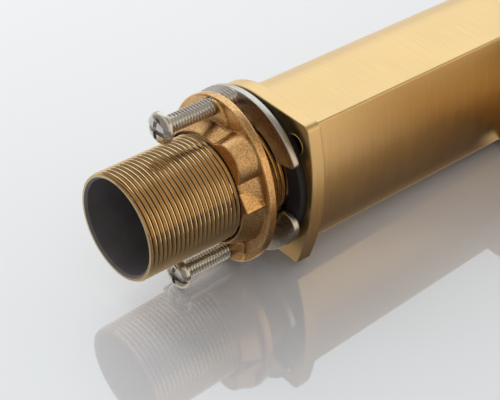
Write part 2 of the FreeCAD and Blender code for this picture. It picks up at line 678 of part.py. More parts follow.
def aerator_housing():
    """Threaded outlet ring with an inner lip that holds the insert."""
    rim_top = SPOUT_LOW - FILM
    low = rim_top - AERATOR_RIM_HEIGHT
    high = SOCKET_TOP - AERATOR_SEAL
    lip = low + AERATOR_LIP_HEIGHT
    outline = [(AERATOR_LIP, low), (AERATOR_RIM, low), (AERATOR_RIM, rim_top),
               (AERATOR_THREAD, rim_top), (AERATOR_THREAD, high), (AERATOR_BORE, high),
               (AERATOR_BORE, lip), (AERATOR_LIP, lip)]
    return revolve(outline, MOUTH)


def aerator_insert():
    """Plastic flow straightener with rings of holes, seated on the housing's lip."""
    low = SPOUT_LOW - FILM - AERATOR_RIM_HEIGHT + AERATOR_LIP_HEIGHT + FILM
    high = SOCKET_TOP - AERATOR_SEAL - AERATOR_SCREEN
    body = cylinder(AERATOR_BORE - RUNNING, low, high, MOUTH)
    holes = []
    for number in range(AERATOR_RINGS + 1):
        radius = number * AERATOR_RING_STEP
        count = max(1, 6 * number)
        for index in range(count):
            angle = 2 * math.pi * index / count
            place = (radius * math.cos(angle), OUTLET_Y + radius * math.sin(angle))
            holes.append(cylinder(AERATOR_HOLE, low - OVERRUN, high + OVERRUN, place))
    return body.cut(holes)


def aerator_screen():
    """Round strainer on top of the insert."""
    high = SOCKET_TOP - AERATOR_SEAL
    return cylinder(AERATOR_BORE - RUNNING, high - AERATOR_SCREEN, high, MOUTH)


def aerator_seal():
    """Flat rubber washer between the aerator and the spout."""
    low = SOCKET_TOP - AERATOR_SEAL + FILM
    return ring(AERATOR_THREAD - RUNNING, AERATOR_LIP, low, SOCKET_TOP - FILM, MOUTH)


def build():
    """Every piece of the tap by name."""
    low_seals = seal_set(CHAMBER_FLOOR, CHAMBER_FLOOR + PORT_SEAL_HEIGHT)
    high_seals = seal_set(BASE_TOP - PORT_SEAL_HEIGHT, FIXED_LOW)
    return {
        "column_body": column_body(),
        "spout": spout(),
        "base_flange": base_flange(),
        "base_seal": base_seal(),
        "threaded_shank": threaded_shank(),
        "c_washer": c_washer(),
        "fixing_nut": fixing_nut(),
        "jack_screw_right": jack_screw(1),
        "jack_screw_left": jack_screw(-1),
        "cartridge_base": cartridge_base(),
        "port_seals": low_seals,
        "disc_seals": high_seals,
        "fixed_ceramic_disc": ported_disc(FIXED_DISC, FIXED_LOW, FIXED_LOW + DISC_THICKNESS),
        "moving_ceramic_disc": moving_ceramic_disc(),
        "disc_driver": disc_driver(),
        "stem_carrier": stem_carrier(),
        "stem_pin": stem_pin(),
        "cartridge_stem": cartridge_stem(),
        "cartridge_housing": cartridge_housing(),
        "retaining_nut": retaining_nut(),
        "dome_cap": dome_cap(),
        "lever_handle": lever_handle(),
        "lever_grub_screw": lever_grub_screw(),
        "grub_plug": grub_plug(),
        "aerator_housing": aerator_housing(),
        "aerator_insert": aerator_insert(),
        "aerator_screen": aerator_screen(),
        "aerator_seal": aerator_seal(),
    }


os.makedirs("parts", exist_ok=True)
for name, shape in build().items():
    shape.exportStep("parts/" + name + ".step")
    box = shape.BoundBox
    print(name, "solids", len(shape.Solids), "valid", shape.isValid(), "volume", round(shape.Volume, 1),
          "z", round(box.ZMin, 2), round(box.ZMax, 2))
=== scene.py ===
"""Looks of a single-lever basin mixer tap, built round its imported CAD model."""

import json
import logging
import math
from collections.abc import Iterator, Mapping, Sequence
from contextlib import contextmanager
from dataclasses import dataclass
from enum import Enum

import bmesh
import bpy
from mathutils import Matrix, Vector


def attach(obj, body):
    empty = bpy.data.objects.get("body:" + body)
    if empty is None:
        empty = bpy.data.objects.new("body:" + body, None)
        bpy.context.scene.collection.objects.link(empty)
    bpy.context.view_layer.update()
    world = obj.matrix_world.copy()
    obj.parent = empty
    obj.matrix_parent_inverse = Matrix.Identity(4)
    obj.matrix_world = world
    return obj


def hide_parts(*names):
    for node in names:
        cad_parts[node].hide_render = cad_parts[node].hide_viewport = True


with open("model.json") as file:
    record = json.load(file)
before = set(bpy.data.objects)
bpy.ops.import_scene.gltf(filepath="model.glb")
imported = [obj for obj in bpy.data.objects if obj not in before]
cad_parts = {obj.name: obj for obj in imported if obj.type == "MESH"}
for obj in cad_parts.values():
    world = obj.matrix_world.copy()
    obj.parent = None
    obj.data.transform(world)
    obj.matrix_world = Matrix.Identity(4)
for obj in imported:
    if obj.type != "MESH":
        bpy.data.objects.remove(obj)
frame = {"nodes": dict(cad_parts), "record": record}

logging.basicConfig(level=logging.INFO, format="%(message)s")
log = logging.getLogger("tap")

MM = 0.001
Flat = tuple[float, float]
Point = tuple[float, float, float]
Outline = Sequence[Flat]
Colour = tuple[float, float, float, float]
Spans = tuple[float, float, float, float]  # two limits of a value, and what they become
Tree = bpy.types.NodeTree
Socket = bpy.types.NodeSocket
Paint = Socket | Colour
Share = Socket | float
Piece = bpy.types.Object
Face = tuple[int, ...]


class Brushing(Enum):
    """Axis that the brushing lines run around."""

    ROUND_COLUMN = "Z"
    ALONG_SPOUT = "X"


class Side(Enum):
    """Which of the two jack screws."""

    RIGHT = 1
    LEFT = -1


def linear(colour: str) -> Colour:
    """Turn an sRGB hex colour into linear values by the curve of the sRGB standard.

    Args:
        colour: Colour such as "#F3D6A6".

    Returns:
        Linear red, green, blue and alpha.
    """
    parts = [int(colour[i : i + 2], 16) / 255 for i in (1, 3, 5)]
    return (*[p / 12.92 if p <= 0.04045 else ((p + 0.055) / 1.055) ** 2.4 for p in parts], 1.0)


def per_mm(size: float) -> float:
    """Texture scale at which one feature is that many millimetres long."""
    return 1.0 / (size * MM)


def add(tree: Tree, kind: str, settings: dict | None = None, **sockets: object) -> bpy.types.Node:
    """Add a node with its settings, socket values and links.

    Args:
        tree: Node tree that the node goes into.
        kind: Node type without its "ShaderNode" start.
        settings: Node properties by name.
        **sockets: Input values, or output sockets to link, by input name with _ for a
            space, or by input number as i0, i1 and so on.

    Returns:
        The new node.
    """
    node = tree.nodes.new("ShaderNode" + kind)
    for name, value in (settings or {}).items():
        setattr(node, name, value)
    for name, value in sockets.items():
        numbered = name[0] == "i" and name[1:].isdigit()
        socket = node.inputs[int(name[1:])] if numbered else node.inputs[name.replace("_", " ")]
        if isinstance(value, Socket):
            tree.links.new(value, socket)
        else:
            socket.default_value = value
    return node


def calc(tree: Tree, operation: str, *values: Share, clamp: bool = False) -> Socket:
    """Add a sum of values.

    Args:
        tree: Node tree.
        operation: Name of the operation.
        *values: Numbers or sockets, in the operation's order.
        clamp: Keep the result between 0 and 1.

    Returns:
        The result's socket.
    """
    sockets = {f"i{number}": value for number, value in enumerate(values)}
    return add(tree, "Math", {"operation": operation, "use_clamp": clamp}, **sockets).outputs[0]


def remap(tree: Tree, value: Socket, spans: Spans, curve: str = "LINEAR") -> Socket:
    """Carry a value from one span to another and hold it at the ends.

    Args:
        tree: Node tree.
        value: What is carried over.
        spans: Low and high limit of the value, and what each becomes.
        curve: How the result runs between them.

    Returns:
        The result's socket.
    """
    sockets = {f"i{number}": limit for number, limit in enumerate(spans, start=1)}
    return add(tree, "MapRange", {"interpolation_type": curve}, Value=value, **sockets).outputs[0]


def ease(tree: Tree, value: Socket, start: float, end: float) -> Socket:
    """Rise smoothly from 0 at one value to 1 at another.

    Args:
        tree: Node tree.
        value: What is measured.
        start: Value at which the result is 0.
        end: Value at which the result is 1, which may be the lower one.

    Returns:
        The result's socket.
    """
    spans = (start, end, 0.0, 1.0) if start <= end else (end, start, 1.0, 0.0)
    return remap(tree, value, spans, "SMOOTHSTEP")


def blend(tree: Tree, share: Share, first: Paint, second: Paint, kind: str = "MIX") -> Socket:
    """Mix two colours.

    Args:
        tree: Node tree.
        share: Share of the second colour.
        first: Colour or socket.
        second: Colour or socket.
        kind: How they are mixed.

    Returns:
        The mixed colour's socket.
    """
    settings = {"data_type": "RGBA", "blend_type": kind}
    return add(tree, "Mix", settings, i0=share, i6=first, i7=second).outputs[2]


def mix_shaders(tree: Tree, share: Socket, first: Socket, second: Socket) -> Socket:
    """Mix two shaders by the share of the second."""
    return add(tree, "MixShader", i0=share, i1=first, i2=second).outputs[0]


def fill_ramp(node: bpy.types.Node, stops: Sequence[tuple[float, Colour]]) -> None:
    """Give a colour ramp its stops.

    Args:
        node: Colour ramp node.
        stops: Position and linear colour of each stop, in order.
    """
    ramp = node.color_ramp
    while len(ramp.elements) < len(stops):
        ramp.elements.new(1.0)
    for element, (place, colour) in zip(ramp.elements, stops):
        element.position = place
        element.color = colour


@dataclass(frozen=True)
class Grain:
    """A noise pattern with features of a real size.

    The size is in millimetres, one for all axes or one for each. The detail is the
    number of finer layers, and the weight is how much each of them counts.
    """

    size: float | Point
    detail: float = 2.0
    weight: float = 0.5

    def pattern(self, tree: Tree, place: Socket) -> Socket:
        """Add the pattern.

        Args:
            tree: Node tree of the material.
            place: Object coordinates.

        Returns:
            Socket of the pattern's value.
        """
        if isinstance(self.size, tuple):
            scales = tuple(per_mm(size) for size in self.size)
            place = add(tree, "Mapping", Vector=place, Scale=scales).outputs["Vector"]
            scale = 1.0
        else:
            scale = per_mm(self.size)
        layers = {"Detail": self.detail, "Roughness": self.weight}
        return add(tree, "TexNoise", Vector=place, Scale=scale, **layers).outputs["Fac"]


@dataclass(frozen=True)
class Finish:
    """What every finish has: name, base colour, roughness, and relief with its depth in mm."""

    name: str
    colour: str
    roughness: float = 0.5
    relief: float = 0.1
    depth: float = 0.02

    def surface(self, tree: Tree, place: Socket) -> Socket:
        """Make the finish's shader in a node tree.

        Args:
            tree: Node tree of the material.
            place: Object coordinates.

        Returns:
            The shader's output socket.
        """
        raise NotImplementedError

    def uneven(self, tree: Tree, value: Socket, spans: Spans) -> Socket:
        """Let the roughness follow a value.

        Args:
            tree: Node tree of the material.
            value: What it follows.
            spans: Low and high limit of the value, and the share of the roughness at each.

        Returns:
            The roughness's socket.
        """
        low, high, first, last = spans
        return remap(tree, value, (low, high, self.roughness * first, self.roughness * last))

    def shade(
        self, tree: Tree, colour: Socket, rough: Socket, height: Socket, **more: object
    ) -> Socket:
        """End a finish with its relief and its shader.

        Args:
            tree: Node tree of the material.
            colour: Colour at each point.
            rough: Roughness at each point.
            height: Pattern that stands up as relief.
            **more: Further inputs of the shader.

        Returns:
            The shader's output socket.
        """
        bump = add(tree, "Bump", Strength=self.relief, Distance=self.depth * MM, Height=height)
        more.update(Base_Color=colour, Roughness=rough, Normal=bump.outputs[0])
        return add(tree, "BsdfPrincipled", **more).outputs[0]

    def material(self) -> bpy.types.Material:
        """Make the material, or give the one already made.

        Returns:
            The material of this finish.
        """
        made = bpy.data.materials.get(self.name)
        if made is not None:
            return made
        made = bpy.data.materials.new(self.name)
        made.use_nodes = True
        tree = made.node_tree
        tree.nodes.clear()
        place = add(tree, "TexCoord").outputs["Object"]
        add(tree, "OutputMaterial", Surface=self.surface(tree, place))
        return made


@dataclass(frozen=True)
class BrushedGold(Finish):
    """Gold-coloured hard coat on brass that was brushed with an abrasive belt.

    The eye sees fine straight lines, a soft sheen that spreads across them, and
    slightly lighter and darker bands where the belt pressed more or less.
    """

    roughness: float = 0.34
    brushing: Brushing = Brushing.ROUND_COLUMN
    anisotropy: float = 0.55
    fine_line: float = 0.16
    coarse_line: float = 0.7
    coarse_share: float = 0.6
    line_length: float = 18.0
    line_detail: float = 3.0
    line_weight: float = 0.6
    line_tone: Spans = (0.55, 1.05, 0.9, 1.06)
    line_rough: Spans = (0.5, 1.1, 0.8, 1.2)
    band: Grain = Grain(22.0)
    band_tone: Spans = (0.3, 0.7, 0.97, 1.02)

    def line(self, width: float) -> Grain:
        """Draw out a pattern into brushed lines.

        Args:
            width: Width of a line in millimetres.

        Returns:
            The pattern.
        """
        if self.brushing is Brushing.ROUND_COLUMN:
            size = (self.line_length, self.line_length, width)
        else:
            size = (width, self.line_length, width)
        return Grain(size, self.line_detail, self.line_weight)

    def surface(self, tree: Tree, place: Socket) -> Socket:
        """Make brushed metal.

        Args:
            tree: Node tree of the material.
            place: Object coordinates.

        Returns:
            The shader's output socket.
        """
        fine = self.line(self.fine_line).pattern(tree, place)
        coarse = self.line(self.coarse_line).pattern(tree, place)
        lines = calc(tree, "MULTIPLY_ADD", coarse, self.coarse_share, fine)
        line_tone = remap(tree, lines, self.line_tone)
        band_tone = remap(tree, self.band.pattern(tree, place), self.band_tone)
        tone = calc(tree, "MULTIPLY", line_tone, band_tone)
        colour = blend(tree, 1.0, linear(self.colour), tone, "MULTIPLY")
        rough = self.uneven(tree, lines, self.line_rough)
        tangent = add(tree, "Tangent", {"direction_type": "RADIAL", "axis": self.brushing.value})
        sheen = {"Metallic": 1.0, "Anisotropic": self.anisotropy, "Tangent": tangent.outputs[0]}
        return self.shade(tree, colour, rough, lines, **sheen)


@dataclass(frozen=True)
class CastBrass(Finish):
    """Brass as it leaves a sand mould and the tumbler.

    The eye sees a fine sandy grain with small pits, a matt sheen and paler worn edges.
    Concave spots are browner and deep hollows dark, both painted shade.
    """

    roughness: float = 0.28
    relief: float = 0.6
    depth: float = 0.08
    # Browner tone of the sand marks, and painted shade in concave spots.
    hollow: str = "#B5854A"
    # Painted shade: deep hollows darken towards this colour by how closed in they are.
    painted_hollow_shade: str = "#4A301A"
    hollow_shade_reach: float = 5.0
    hollow_shade_samples: int = 8
    sand: Grain = Grain(0.42, 2.0, 0.65)
    pits: Grain = Grain(0.8, 1.0)
    pit_share: float = 0.35
    clouds: Grain = Grain(9.0, 3.0)
    wear_and_shade_tone: Spans = (0.48, 0.56, 0.5, 1.0)
    cloud_tone: Spans = (0.35, 0.7, -0.1, 0.12)
    sand_tone: Spans = (0.48, 0.88, -0.42, 0.42)
    hollow_shade_tone: Spans = (0.25, 0.75, 0.15, 1.0)
    sand_rough: Spans = (0.4, 0.95, 1.15, 0.85)

    def surface(self, tree: Tree, place: Socket) -> Socket:
        """Make grainy cast metal.

        Args:
            tree: Node tree of the material.
            place: Object coordinates.

        Returns:
            The shader's output socket.
        """
        sand, pits = self.sand.pattern(tree, place), self.pits.pattern(tree, place)
        height = calc(tree, "MULTIPLY_ADD", pits, self.pit_share, sand)
        # Paler on convex edges as wear, browner in concave spots as painted shade.
        convexity = add(tree, "NewGeometry").outputs["Pointiness"]
        edge = remap(tree, convexity, self.wear_and_shade_tone)
        cloud = remap(tree, self.clouds.pattern(tree, place), self.cloud_tone)
        marks = calc(tree, "ADD", cloud, remap(tree, height, self.sand_tone))
        light = calc(tree, "ADD", marks, edge, clamp=True)
        metal = blend(tree, light, linear(self.hollow), linear(self.colour))
        # Painted shade in deep hollows, from how closed in each point is.
        samples = {"samples": self.hollow_shade_samples}
        air = add(tree, "AmbientOcclusion", samples, Distance=self.hollow_shade_reach * MM).outputs["AO"]
        colour = blend(tree, remap(tree, air, self.hollow_shade_tone), linear(self.painted_hollow_shade), metal)
        rough = self.uneven(tree, height, self.sand_rough)
        return self.shade(tree, colour, rough, height, Metallic=1.0)


@dataclass(frozen=True)
class TurnedMetal(Finish):
    """Metal cut on a lathe or rolled, with fine rings left by the tool.

    The eye sees a hard sheen drawn out into thin rings and faint tarnish in clouds.
    On a thread, painted shade darkens the roots and a painted highlight pales the crests.
    The radii of root and crest are in millimetres, and a root of 0 stands for no thread.
    """

    roughness: float = 0.22
    relief: float = 0.12
    rings: Grain = Grain((30.0, 30.0, 0.22))
    ring_rough: Spans = (0.3, 0.7, 0.75, 1.3)
    clouds: Grain = Grain(5.0, 4.0, 0.6)
    cloudy: Flat = (0.4, 0.75)
    stain: str = "#8A6A3C"
    stained: float = 0.35
    root: float = 0.0
    root_fade: float = 0.28
    crest: float = 0.0
    crest_fade: float = 0.1
    # Colours of the painted shade in a thread's roots and the painted highlight on its crests.
    painted_root_shade: str = "#2A1C10"
    painted_crest_highlight: str = "#FBE4BC"

    def thread(self, tree: Tree, place: Socket, colour: Socket) -> Socket:
        """Paint shade into the roots of a thread and a highlight onto its crests.

        Args:
            tree: Node tree of the material.
            place: Object coordinates.
            colour: Colour of the flanks.

        Returns:
            The colour's socket.
        """
        level = add(tree, "Mapping", Vector=place, Scale=(1.0, 1.0, 0.0)).outputs["Vector"]
        away = add(tree, "VectorMath", {"operation": "LENGTH"}, i0=level).outputs["Value"]
        # Painted shade towards the roots, painted highlight towards the crests.
        unshaded = remap(tree, away, (self.root * MM, (self.root + self.root_fade) * MM, 0.0, 1.0))
        highlit = remap(tree, away, ((self.crest - self.crest_fade) * MM, self.crest * MM, 0.0, 1.0))
        colour = blend(tree, highlit, colour, linear(self.painted_crest_highlight))
        return blend(tree, unshaded, linear(self.painted_root_shade), colour)

    def surface(self, tree: Tree, place: Socket) -> Socket:
        """Make turned metal with faint tool rings and tarnish.

        Args:
            tree: Node tree of the material.
            place: Object coordinates.

        Returns:
            The shader's output socket.
        """
        tool, clouds = self.rings.pattern(tree, place), self.clouds.pattern(tree, place)
        tarnish = remap(tree, clouds, (*self.cloudy, 0.0, self.stained))
        colour = blend(tree, tarnish, linear(self.colour), linear(self.stain))
        if self.root > 0.0:
            colour = self.thread(tree, place, colour)
        rough = self.uneven(tree, tool, self.ring_rough)
        return self.shade(tree, colour, rough, tool, Metallic=1.0)


@dataclass(frozen=True)
class GroundSteel(Finish):
    """Zinc-plated steel sheet with ground, slightly furred edges."""

    roughness: float = 0.3
    scratches: Grain = Grain((0.3, 2.4, 0.3), 3.0)
    scratch_rough: Spans = (0.3, 0.7, 0.8, 1.25)
    clouds: Grain = Grain(3.5, 4.0, 0.65)
    cloud_tone: Spans = (0.3, 0.7, 0.86, 1.0)

    def surface(self, tree: Tree, place: Socket) -> Socket:
        """Make plated steel with short scratches and cloudy plating.

        Args:
            tree: Node tree of the material.
            place: Object coordinates.

        Returns:
            The shader's output socket.
        """
        fine = self.scratches.pattern(tree, place)
        tone = remap(tree, self.clouds.pattern(tree, place), self.cloud_tone)
        colour = blend(tree, 1.0, linear(self.colour), tone, "MULTIPLY")
        rough = self.uneven(tree, fine, self.scratch_rough)
        return self.shade(tree, colour, rough, fine, Metallic=1.0)


@dataclass(frozen=True)
class Moulded(Finish):
    """Rubber, plastic, the bore's charcoal coat or fired ceramic: not metal, with a fine even skin.
    """

    relief: float = 0.2
    depth: float = 0.03
    skin: float = 0.25
    skin_detail: float = 3.0
    skin_rough: Spans = (0.3, 0.7, 0.9, 1.1)
    clouds: Grain = Grain(6.0, 3.0)
    cloudy: Flat = (0.3, 0.7)
    mottle: float = 0.06

    def surface(self, tree: Tree, place: Socket) -> Socket:
        """Make a moulded skin with slight mottling.

        Args:
            tree: Node tree of the material.
            place: Object coordinates.

        Returns:
            The shader's output socket.
        """
        skin = Grain(self.skin, self.skin_detail).pattern(tree, place)
        spans = (*self.cloudy, 1.0 - self.mottle, 1.0 + self.mottle)
        tone = remap(tree, self.clouds.pattern(tree, place), spans)
        colour = blend(tree, 1.0, linear(self.colour), tone, "MULTIPLY")
        return self.shade(tree, colour, self.uneven(tree, skin, self.skin_rough), skin)


GOLD = "#F3D39C"
# Vapour-coated brass, brushed round the column with a belt: pale warm gold with a sheen
# that the fine lines draw out across them. The lines are drawn about three times as far
# apart as the belt's grit leaves them, because the real ones are too fine to show.
COLUMN_GOLD = BrushedGold("gold_coat_brushed_round", GOLD)
# The same coat, brushed along the spout and the lever.
LONG_GOLD = BrushedGold("gold_coat_brushed_along", GOLD, brushing=Brushing.ALONG_SPOUT)
# Leaded brass from a sand mould, tumbled: a matt sandy yellow, browned in the hollows by painted
# shade.
# The grain is that of moulding sand, drawn at 0.4 mm so that it shows.
CAST_BRASS = CastBrass("sand_cast_brass", "#FACF98")
# Leaded brass turned on a lathe: a hard yellow shine broken by the tool's fine rings,
# which are drawn as coarse as 0.2 mm so that they show.
TURNED_BRASS = TurnedMetal("turned_brass", "#F2C888", roughness=0.2)
# The same brass where a die cut the thread: painted highlight on crests, painted shade in roots.
THREAD_BRASS = TurnedMetal("thread_cut_brass", "#E8C896", roughness=0.17, root=15.1, crest=15.98)
# A dull charcoal skin in the bore, darker than the brass round it, not bare metal.
BORE_CHARCOAL = Moulded("dull_charcoal_bore", "#686263", roughness=0.42, skin=0.6, relief=0.15, mottle=0.12)
# A2 stainless steel, cold-headed and rolled: a clean grey shine with little colour.
STAINLESS = TurnedMetal("stainless_steel", "#D9D7D2", roughness=0.2, stain="#A7A29A", stained=0.3)
# Steel sheet, stamped and zinc plated: a cool cloudy grey, scratched across the faces.
WASHER_STEEL = GroundSteel("zinc_plated_steel", "#D6D3CE")
# Moulded nitrile rubber: black with a dull soft shine along its rounded edges.
RUBBER = Moulded("black_nitrile_rubber", "#232326", roughness=0.52)
# Injection-moulded acetal: bone white and slightly waxy.
CARTRIDGE_PLASTIC = Moulded("acetal_cartridge", "#D9D4C8", roughness=0.4)
# The same plastic dyed slate grey for the moving parts, so that they stand apart.
CARRIER_PLASTIC = Moulded("acetal_carrier", "#3F4A54", roughness=0.38)
# Fired and lapped alumina ceramic: cream white with a hard wet-looking gloss.
ALUMINA = Moulded("fired_alumina", "#EFEAE0", roughness=0.16, relief=0.03, mottle=0.02)

SLOT_FINISH: dict[str, Finish] = {
    "brushed_gold": COLUMN_GOLD,
    "turned_brass": TURNED_BRASS,
    "cast_brass": CAST_BRASS,
    "stainless_steel": STAINLESS,
    "zinc_steel": WASHER_STEEL,
    "black_rubber": RUBBER,
    "cartridge_plastic": CARTRIDGE_PLASTIC,
    "carrier_plastic": CARRIER_PLASTIC,
    "ceramic": ALUMINA,
}


def linked(name: str, data: bpy.types.ID) -> Piece:
    """Make an object in the scene.

    Args:
        name: Name of the object.
        data: Its mesh, lamp or camera.

    Returns:
        The new object.
    """
    made = bpy.data.objects.new(name, data)
    bpy.context.scene.collection.objects.link(made)
    return made


def new_piece(name: str, vertices: Sequence[Point], faces: Sequence[Face]) -> Piece:
    """Make a smooth mesh object from points in millimetres.

    Args:
        name: Name of the piece.
        vertices: Points in millimetres.
        faces: Corner numbers of each face.

    Returns:
        The new object.
    """
    mesh = bpy.data.meshes.new(name)
    mesh.from_pydata([(x * MM, y * MM, z * MM) for x, y, z in vertices], [], faces)
    mesh.validate()
    mesh.shade_smooth()
    return linked(name, mesh)


@contextmanager
def edited(mesh: bpy.types.Mesh) -> Iterator[bmesh.types.BMesh]:
    """Open a mesh for editing and write it back afterwards.

    Args:
        mesh: Mesh that is changed.

    Yields:
        The mesh's editable form.
    """
    work = bmesh.new()
    work.from_mesh(mesh)
    yield work
    work.to_mesh(mesh)
    work.free()


def settle(piece: Piece) -> None:
    """Replace a piece's mesh by what its modifiers make of it.

    Args:
        piece: Piece with modifiers.
    """
    evaluated = piece.evaluated_get(bpy.context.evaluated_depsgraph_get())
    shaped = bpy.data.meshes.new_from_object(evaluated)
    piece.modifiers.clear()
    piece.data = shaped
    piece.data.name = piece.name


def sharpen(piece: Piece, degrees: float) -> None:
    """Keep a smooth mesh crisp where its faces turn by more than an angle."""
    piece.data.set_sharp_from_angle(angle=math.radians(degrees))


def coat(piece: Piece, *finishes: Finish) -> None:
    """Give a piece its finishes in place of those it has.

    Args:
        piece: Piece with a mesh.
        *finishes: Finishes in the order of the mesh's slots.
    """
    piece.data.materials.clear()
    for finish in finishes:
        piece.data.materials.append(finish.material())


def stand_in(piece: Piece, node: str, body: str) -> None:
    """Let a piece stand for a CAD node.

    Args:
        piece: The finer piece.
        node: CAD node that it replaces.
        body: CAD body that it rides on.
    """
    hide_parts(node)
    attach(piece, body)
    log.info("%s stands for %s with %d faces", piece.name, node, len(piece.data.polygons))


def report(piece: Piece) -> None:
    """Log a piece that stands beside the CAD nodes."""
    log.info("%s is added with %d faces", piece.name, len(piece.data.polygons))


def lathe(name: str, outline: Outline, steps: int, centre: Flat = (0.0, 0.0)) -> Piece:
    """Turn a closed outline about an upright axis.

    Args:
        name: Name of the piece.
        outline: Closed (radius, height) outline in millimetres, in order.
        steps: Number of steps round.
        centre: Place of the axis in millimetres.

    Returns:
        The turned piece.
    """
    count = len(outline)
    points: list[Point] = []
    faces: list[Face] = []
    for step in range(steps):
        turn = 2 * math.pi * step / steps
        across, ahead = math.cos(turn), math.sin(turn)
        points += [(centre[0] + r * across, centre[1] + r * ahead, z) for r, z in outline]
        here, there = step * count, (step + 1) % steps * count
        for i in range(count):
            j = (i + 1) % count
            faces.append((here + i, there + i, there + j, here + j))
    return new_piece(name, points, faces)


def solid_copy(name: str, node: str, weld: float = 0.002) -> Piece:
    """Copy a CAD node's mesh as one welded surface.

    Args:
        name: Name of the copy.
        node: CAD node that is copied.
        weld: Distance in millimetres within which points become one.

    Returns:
        The copy.
    """
    mesh = frame["nodes"][node].data.copy()
    mesh.name = name
    mesh.materials.clear()
    with edited(mesh) as work:
        bmesh.ops.remove_doubles(work, verts=work.verts, dist=weld * MM)
    return linked(name, mesh)


@dataclass
class Thread:
    """An outside right-hand screw thread on an upright axis, in millimetres.

    The profile gives the share of a turn and the share of the depth of each point on
    one crest, flank and root. The depth is that of ISO metric threads.
    """

    radius: float
    pitch: float
    low: float
    high: float
    chamfer: float
    steps: int
    depth_share: float = 0.6134
    profile: Outline = (
        (0.0, 0.05), (0.03, 0.0), (0.17, 0.0), (0.2, 0.05),
        (0.5, 0.95), (0.53, 1.0), (0.64, 1.0), (0.67, 0.95),
    )

    def limit(self, height: float) -> float:
        """Largest radius that the end chamfers leave at a height."""
        end = min(height - self.low, self.high - height)
        return self.radius - max(0.0, self.chamfer - end)

    def skin(self, x: float = 0.0, y: float = 0.0) -> tuple[list[Point], list[Face], list[int]]:
        """Make the thread's surface, with rows that follow the helix.

        Args:
            x: Place of the axis.
            y: Place of the axis.

        Returns:
            Points, faces, and the point numbers round the high end.
        """
        depth = self.depth_share * self.pitch
        turns = math.ceil((self.high - self.low) / self.pitch) + 1
        rows = [(turn + at, depth * cut) for turn in range(-1, turns) for at, cut in self.profile]
        count = len(rows)
        points: list[Point] = []
        faces: list[Face] = []
        for step in range(self.steps):
            angle = 2 * math.pi * step / self.steps
            across, ahead = math.cos(angle), math.sin(angle)
            for turn, cut in rows:
                wanted = self.low + (turn + step / self.steps) * self.pitch
                height = min(max(wanted, self.low), self.high)
                radius = min(self.radius - cut, self.limit(height))
                points.append((x + radius * across, y + radius * ahead, height))
            # The last step meets the first one a whole turn further along.
            last = step == self.steps - 1
            after, shift = (0, len(self.profile)) if last else (step + 1, 0)
            for row in range(count - 1 - shift):
                here, there = step * count + row, after * count + row + shift
                faces.append((here, there, there + 1, here + 1))
        return points, faces, [step * count + count - 1 for step in range(self.steps)]


@dataclass
class Shank:
    """Hollow M32 x 1.5 shank with its thread cut down to the mouth, in millimetres."""

    radius: float = 16.0
    bore: float = 14.2
    pitch: float = 1.5
    mouth: float = -46.7
    root: float = 17.0
    chamfer: float = 0.4
    relief: float = 0.7
    lip: float = 0.01
    lead: float = 3.0
    core: float = 1.0
    core_taper: float = 0.05
    charcoal_edge: float = 0.6
    thread_steps: int = 240
    bore_steps: int = 192
    crease: float = 30.0
    thread_crease: float = 25.0

    def tube(self) -> Piece:
        """Make the bored tube inside the thread.

        Returns:
            The tube.
        """
        outside = self.radius - self.core
        outline = [
            (self.radius - self.chamfer, self.mouth + self.lip),
            (self.bore + self.relief, self.mouth), (self.bore, self.mouth + self.relief),
            (self.bore, self.mouth + self.lead), (self.bore, self.root), (outside, self.root),
            (outside - self.core_taper, self.mouth + self.core),
        ]
        tube = lathe("shank_bore", outline, self.bore_steps)
        sharpen(tube, self.crease)
        coat(tube, TURNED_BRASS, BORE_CHARCOAL)
        # The bore and the inner part of its chamfer get the dull charcoal skin.
        for face in tube.data.polygons:
            away = math.hypot(face.center.x, face.center.y) / MM
            face.material_index = int(away < self.bore + self.relief * self.charcoal_edge)
        return tube

    def build(self) -> Piece:
        """Make the threaded tube.

        Returns:
            The shank.
        """
        ends = (self.mouth, self.root)
        thread = Thread(self.radius, self.pitch, *ends, self.chamfer, self.thread_steps)
        points, faces, _ = thread.skin()
        tube = self.tube()
        piece = new_piece("threaded_shank_cut", points, faces)
        sharpen(piece, self.thread_crease)
        coat(piece, THREAD_BRASS)
        stand_in(piece, "threaded_shank", "tap")
        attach(tube, "tap")
        report(tube)
        return piece


